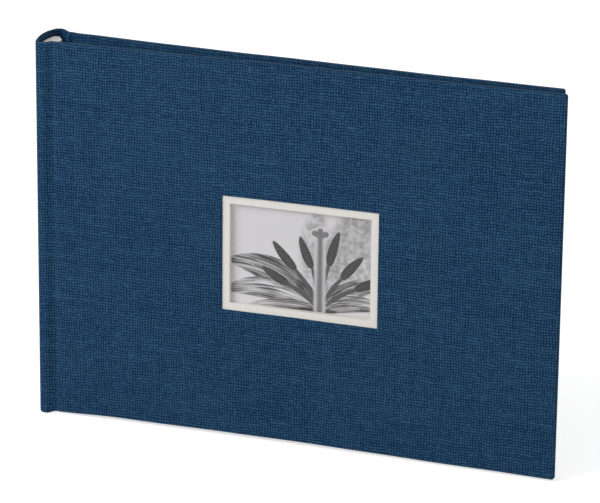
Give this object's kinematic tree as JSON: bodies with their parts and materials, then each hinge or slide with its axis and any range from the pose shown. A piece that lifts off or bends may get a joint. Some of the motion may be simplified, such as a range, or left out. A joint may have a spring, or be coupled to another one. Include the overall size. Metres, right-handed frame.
{
  "type": "photo album",
  "caption": "Landscape book-bound photo album in woven cloth, with a rounded spine, a framed picture window in the front cover, and leaves with glassine interleaves that fan out.",
  "frame": {"origin": "middle of the album's length and thickness, on the plane of its tail edges", "axes": "+X from the spine to the fore edge, +Y from the front cover to the back cover, +Z from tail to head"},
  "size_m": [0.24, 0.0226, 0.17],
  "materials": {
    "navy_book_cloth": "coarse plain-weave linen book cloth with slubby threads, dark blue, matt",
    "grey_board": "grey binder's board, fibrous and matt",
    "mat_card": "smooth warm white mat card",
    "white_paper": "uncoated white album card, slightly toothy",
    "photo_print": "black and white print on satin paper",
    "glassine": "thin translucent glassine, smooth, slightly shiny",
    "cotton_mull": "open-weave cotton gauze, glued flat"
  },
  "bodies": {
    "text_block": {"spine_cloth": "navy_book_cloth", "spine_card": "grey_board", "spine_mull": "cotton_mull", "spine_lining_paper": "white_paper", "guard_strip_01": "white_paper", "guard_strip_02": "white_paper", "guard_strip_03": "white_paper", "guard_strip_04": "white_paper", "guard_strip_05": "white_paper", "guard_strip_06": "white_paper", "guard_strip_07": "white_paper", "guard_strip_08": "white_paper", "guard_strip_09": "white_paper", "guard_strip_10": "white_paper", "guard_strip_11": "white_paper", "guard_strip_12": "white_paper", "guard_strip_13": "white_paper"},
    "front_cover": {"front_cover_cloth": "navy_book_cloth", "front_board": "grey_board", "front_pastedown": "white_paper", "window_mat": "mat_card", "picture_pocket": "white_paper"},
    "cover_picture": {"cover_picture": "photo_print"},
    "back_cover": {"back_cover_cloth": "navy_book_cloth", "back_board": "grey_board", "back_pastedown": "white_paper"},
    "front_flyleaf": {"front_flyleaf": "white_paper"},
    "leaf_01": {"leaf_01": "white_paper"},
    "interleaf_01": {"interleaf_01": "glassine"},
    "leaf_02": {"leaf_02": "white_paper"},
    "interleaf_02": {"interleaf_02": "glassine"},
    "leaf_03": {"leaf_03": "white_paper"},
    "interleaf_03": {"interleaf_03": "glassine"},
    "leaf_04": {"leaf_04": "white_paper"},
    "interleaf_04": {"interleaf_04": "glassine"},
    "leaf_05": {"leaf_05": "white_paper"},
    "interleaf_05": {"interleaf_05": "glassine"},
    "leaf_06": {"leaf_06": "white_paper"},
    "interleaf_06": {"interleaf_06": "glassine"},
    "leaf_07": {"leaf_07": "white_paper"},
    "interleaf_07": {"interleaf_07": "glassine"},
    "leaf_08": {"leaf_08": "white_paper"},
    "interleaf_08": {"interleaf_08": "glassine"},
    "leaf_09": {"leaf_09": "white_paper"},
    "interleaf_09": {"interleaf_09": "glassine"},
    "leaf_10": {"leaf_10": "white_paper"},
    "interleaf_10": {"interleaf_10": "glassine"},
    "leaf_11": {"leaf_11": "white_paper"},
    "interleaf_11": {"interleaf_11": "glassine"},
    "leaf_12": {"leaf_12": "white_paper"},
    "back_flyleaf": {"back_flyleaf": "white_paper"}
  },
  "joints": [
    {"name": "front_cover_hinge", "type": "hinge", "parent": "text_block", "child": "front_cover", "pos_m": [-0.1138, -0.0108, 0.085], "axis": [0, 0, -1], "range_deg": [0, 175]},
    {"name": "back_cover_hinge", "type": "hinge", "parent": "text_block", "child": "back_cover", "pos_m": [-0.1138, 0.0108, 0.085], "axis": [0, 0, 1], "range_deg": [0, 175]},
    {"name": "picture_slide", "type": "slide", "parent": "front_cover", "child": "cover_picture", "axis": [0, 0, 1], "range_m": [0, 0.056]},
    {"name": "front_flyleaf_turn", "type": "hinge", "parent": "text_block", "child": "front_flyleaf", "pos_m": [-0.1105, -0.00665, 0.085], "axis": [0, 0, -1], "range_deg": [0, 80.5]},
    {"name": "leaf_01_turn", "type": "hinge", "parent": "text_block", "child": "leaf_01", "pos_m": [-0.1105, -0.00563, 0.085], "axis": [0, 0, -1], "range_deg": [0, 70]},
    {"name": "interleaf_01_turn", "type": "hinge", "parent": "text_block", "child": "interleaf_01", "pos_m": [-0.1105, -0.00512, 0.085], "axis": [0, 0, -1], "range_deg": [0, 67.38]},
    {"name": "leaf_02_turn", "type": "hinge", "parent": "text_block", "child": "leaf_02", "pos_m": [-0.1105, -0.0046, 0.085], "axis": [0, 0, -1], "range_deg": [0, 64.75]},
    {"name": "interleaf_02_turn", "type": "hinge", "parent": "text_block", "child": "interleaf_02", "pos_m": [-0.1105, -0.00409, 0.085], "axis": [0, 0, -1], "range_deg": [0, 62.12]},
    {"name": "leaf_03_turn", "type": "hinge", "parent": "text_block", "child": "leaf_03", "pos_m": [-0.1105, -0.00358, 0.085], "axis": [0, 0, -1], "range_deg": [0, 59.5]},
    {"name": "interleaf_03_turn", "type": "hinge", "parent": "text_block", "child": "interleaf_03", "pos_m": [-0.1105, -0.00307, 0.085], "axis": [0, 0, -1], "range_deg": [0, 56.88]},
    {"name": "leaf_04_turn", "type": "hinge", "parent": "text_block", "child": "leaf_04", "pos_m": [-0.1105, -0.00256, 0.085], "axis": [0, 0, -1], "range_deg": [0, 54.25]},
    {"name": "interleaf_04_turn", "type": "hinge", "parent": "text_block", "child": "interleaf_04", "pos_m": [-0.1105, -0.00205, 0.085], "axis": [0, 0, -1], "range_deg": [0, 51.62]},
    {"name": "leaf_05_turn", "type": "hinge", "parent": "text_block", "child": "leaf_05", "pos_m": [-0.1105, -0.00153, 0.085], "axis": [0, 0, -1], "range_deg": [0, 49]},
    {"name": "interleaf_05_turn", "type": "hinge", "parent": "text_block", "child": "interleaf_05", "pos_m": [-0.1105, -0.00102, 0.085], "axis": [0, 0, -1], "range_deg": [0, 46.38]},
    {"name": "leaf_06_turn", "type": "hinge", "parent": "text_block", "child": "leaf_06", "pos_m": [-0.1105, -0.00051, 0.085], "axis": [0, 0, -1], "range_deg": [0, 43.75]},
    {"name": "interleaf_06_turn", "type": "hinge", "parent": "text_block", "child": "interleaf_06", "pos_m": [-0.1105, 0, 0.085], "axis": [0, 0, -1], "range_deg": [0, 41.12]},
    {"name": "leaf_07_turn", "type": "hinge", "parent": "text_block", "child": "leaf_07", "pos_m": [-0.1105, 0.00051, 0.085], "axis": [0, 0, -1], "range_deg": [0, 38.5]},
    {"name": "interleaf_07_turn", "type": "hinge", "parent": "text_block", "child": "interleaf_07", "pos_m": [-0.1105, 0.00102, 0.085], "axis": [0, 0, -1], "range_deg": [0, 35.88]},
    {"name": "leaf_08_turn", "type": "hinge", "parent": "text_block", "child": "leaf_08", "pos_m": [-0.1105, 0.00153, 0.085], "axis": [0, 0, -1], "range_deg": [0, 33.25]},
    {"name": "interleaf_08_turn", "type": "hinge", "parent": "text_block", "child": "interleaf_08", "pos_m": [-0.1105, 0.00205, 0.085], "axis": [0, 0, -1], "range_deg": [0, 30.62]},
    {"name": "leaf_09_turn", "type": "hinge", "parent": "text_block", "child": "leaf_09", "pos_m": [-0.1105, 0.00256, 0.085], "axis": [0, 0, -1], "range_deg": [0, 28]},
    {"name": "interleaf_09_turn", "type": "hinge", "parent": "text_block", "child": "interleaf_09", "pos_m": [-0.1105, 0.00307, 0.085], "axis": [0, 0, -1], "range_deg": [0, 25.38]},
    {"name": "leaf_10_turn", "type": "hinge", "parent": "text_block", "child": "leaf_10", "pos_m": [-0.1105, 0.00358, 0.085], "axis": [0, 0, -1], "range_deg": [0, 22.75]},
    {"name": "interleaf_10_turn", "type": "hinge", "parent": "text_block", "child": "interleaf_10", "pos_m": [-0.1105, 0.00409, 0.085], "axis": [0, 0, -1], "range_deg": [0, 20.12]},
    {"name": "leaf_11_turn", "type": "hinge", "parent": "text_block", "child": "leaf_11", "pos_m": [-0.1105, 0.0046, 0.085], "axis": [0, 0, -1], "range_deg": [0, 17.5]},
    {"name": "interleaf_11_turn", "type": "hinge", "parent": "text_block", "child": "interleaf_11", "pos_m": [-0.1105, 0.00512, 0.085], "axis": [0, 0, -1], "range_deg": [0, 14.88]},
    {"name": "leaf_12_turn", "type": "hinge", "parent": "text_block", "child": "leaf_12", "pos_m": [-0.1105, 0.00563, 0.085], "axis": [0, 0, -1], "range_deg": [0, 12.25]},
    {"name": "back_flyleaf_turn", "type": "hinge", "parent": "text_block", "child": "back_flyleaf", "pos_m": [-0.1105, 0.00665, 0.085], "axis": [0, 0, 1], "range_deg": [0, 80.5]}
  ],
  "couplings": [
    {"joint": "front_flyleaf_turn", "follows": "front_cover_hinge", "ratio": 0.46},
    {"joint": "leaf_01_turn", "follows": "front_cover_hinge", "ratio": 0.4},
    {"joint": "interleaf_01_turn", "follows": "front_cover_hinge", "ratio": 0.385},
    {"joint": "leaf_02_turn", "follows": "front_cover_hinge", "ratio": 0.37},
    {"joint": "interleaf_02_turn", "follows": "front_cover_hinge", "ratio": 0.355},
    {"joint": "leaf_03_turn", "follows": "front_cover_hinge", "ratio": 0.34},
    {"joint": "interleaf_03_turn", "follows": "front_cover_hinge", "ratio": 0.325},
    {"joint": "leaf_04_turn", "follows": "front_cover_hinge", "ratio": 0.31},
    {"joint": "interleaf_04_turn", "follows": "front_cover_hinge", "ratio": 0.295},
    {"joint": "leaf_05_turn", "follows": "front_cover_hinge", "ratio": 0.28},
    {"joint": "interleaf_05_turn", "follows": "front_cover_hinge", "ratio": 0.265},
    {"joint": "leaf_06_turn", "follows": "front_cover_hinge", "ratio": 0.25},
    {"joint": "interleaf_06_turn", "follows": "front_cover_hinge", "ratio": 0.235},
    {"joint": "leaf_07_turn", "follows": "front_cover_hinge", "ratio": 0.22},
    {"joint": "interleaf_07_turn", "follows": "front_cover_hinge", "ratio": 0.205},
    {"joint": "leaf_08_turn", "follows": "front_cover_hinge", "ratio": 0.19},
    {"joint": "interleaf_08_turn", "follows": "front_cover_hinge", "ratio": 0.175},
    {"joint": "leaf_09_turn", "follows": "front_cover_hinge", "ratio": 0.16},
    {"joint": "interleaf_09_turn", "follows": "front_cover_hinge", "ratio": 0.145},
    {"joint": "leaf_10_turn", "follows": "front_cover_hinge", "ratio": 0.13},
    {"joint": "interleaf_10_turn", "follows": "front_cover_hinge", "ratio": 0.115},
    {"joint": "leaf_11_turn", "follows": "front_cover_hinge", "ratio": 0.1},
    {"joint": "interleaf_11_turn", "follows": "front_cover_hinge", "ratio": 0.085},
    {"joint": "leaf_12_turn", "follows": "front_cover_hinge", "ratio": 0.07},
    {"joint": "back_flyleaf_turn", "follows": "back_cover_hinge", "ratio": 0.46}
  ]
}
